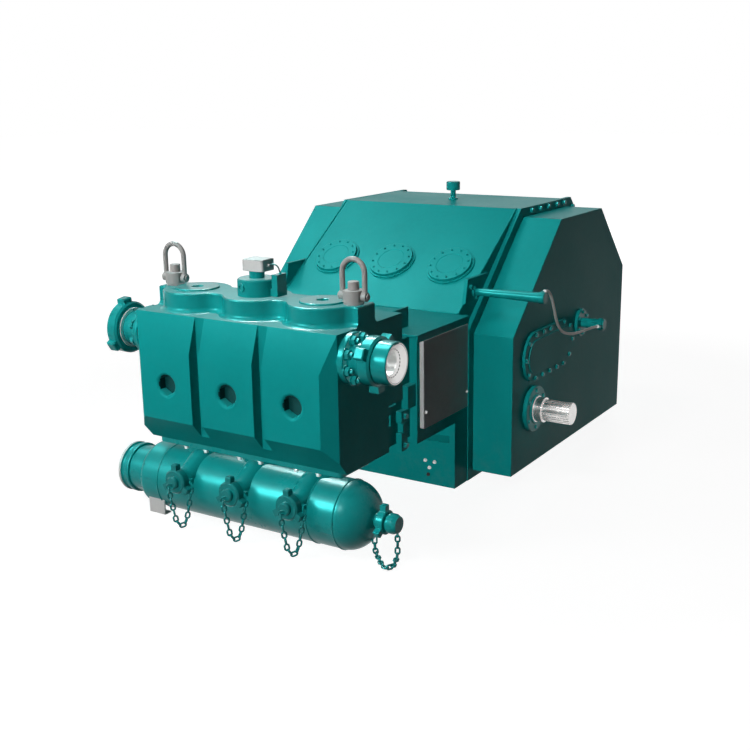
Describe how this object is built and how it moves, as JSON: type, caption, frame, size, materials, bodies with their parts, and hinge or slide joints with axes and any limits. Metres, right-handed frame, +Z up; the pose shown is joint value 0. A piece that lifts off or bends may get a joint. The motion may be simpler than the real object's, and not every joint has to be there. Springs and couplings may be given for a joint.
{
  "type": "triplex fracturing pump",
  "caption": "Horizontal plunger pump: forged fluid end with front sockets, suction manifold with capped ports, and a sloped power end with geared side cases.",
  "frame": {"origin": "middle of the base's underside", "axes": "+Y from the fluid end to the back of the power end, +X along the crankshaft towards the driven shaft's free end, +Z up"},
  "size_m": [1.5755, 2.4605, 1.245],
  "materials": {
    "teal_paint": "satin",
    "steel_bright": "turned",
    "ring_grey": "satin",
    "door_sheet": "satin",
    "sensor_shell": "satin",
    "dark_cap": "satin",
    "hose_rubber": "matte",
    "cable_jacket": "matte"
  },
  "bodies": {
    "pump": {"power_frame": "teal_paint", "gear_case_left": "teal_paint", "gear_case_right": "teal_paint", "inspection_cover_1": "teal_paint", "inspection_cover_2": "teal_paint", "inspection_cover_3": "teal_paint", "oval_cover_left": "teal_paint", "oval_cover_right": "teal_paint", "pinion_cover_left": "teal_paint", "pinion_cover_right": "teal_paint", "lube_flange": "teal_paint", "lube_canister": "teal_paint", "lube_hose": "hose_rubber", "breather": "dark_cap", "lug_plate_left": "teal_paint", "lug_plate_right": "teal_paint", "top_cover": "teal_paint", "side_door_left": "door_sheet", "side_door_right": "door_sheet", "stay_block": "teal_paint", "fluid_end_block": "teal_paint", "valve_cover_left": "teal_paint", "valve_cover_right": "teal_paint", "gauge_adaptor": "teal_paint", "pressure_sensor": "sensor_shell", "sensor_cable": "cable_jacket", "hoist_bolt_left": "ring_grey", "hoist_bolt_right": "ring_grey", "discharge_flange_left": "teal_paint", "discharge_flange_right": "teal_paint", "discharge_wing_left": "teal_paint", "discharge_wing_right": "teal_paint", "manifold_pipe": "teal_paint", "manifold_dome": "teal_paint", "manifold_flange": "teal_paint", "port_stub_1": "teal_paint", "port_stub_2": "teal_paint", "port_stub_3": "teal_paint", "suction_coupling": "teal_paint", "port_cap_1": "teal_paint", "port_cap_2": "teal_paint", "port_cap_3": "teal_paint", "end_cap": "teal_paint", "cap_chains": "teal_paint"},
    "input_shaft": {"pinion_shaft": "steel_bright"},
    "swivel_left": {"hoist_swivel_left": "ring_grey"},
    "bail_left": {"hoist_bail_left": "ring_grey"},
    "swivel_right": {"hoist_swivel_right": "ring_grey"},
    "bail_right": {"hoist_bail_right": "ring_grey"}
  },
  "joints": [
    {"name": "pinion_spin", "type": "hinge", "parent": "pump", "child": "input_shaft", "pos_m": [0.7, -0.3635, 0.302], "axis": [1, 0, 0], "continuous": true},
    {"name": "hoist_turn_left", "type": "hinge", "parent": "pump", "child": "swivel_left", "pos_m": [-0.434, -1.4265, 0.96], "axis": [0, 0, 1], "continuous": true},
    {"name": "bail_tilt_left", "type": "hinge", "parent": "swivel_left", "child": "bail_left", "pos_m": [-0.434, -1.4265, 0.9703], "axis": [1, 0, 0], "range_deg": [-90, 90]},
    {"name": "hoist_turn_right", "type": "hinge", "parent": "pump", "child": "swivel_right", "pos_m": [0.434, -1.4265, 0.96], "axis": [0, 0, 1], "continuous": true},
    {"name": "bail_tilt_right", "type": "hinge", "parent": "swivel_right", "child": "bail_right", "pos_m": [0.434, -1.4265, 0.9703], "axis": [1, 0, 0], "range_deg": [-90, 90]}
  ]
}
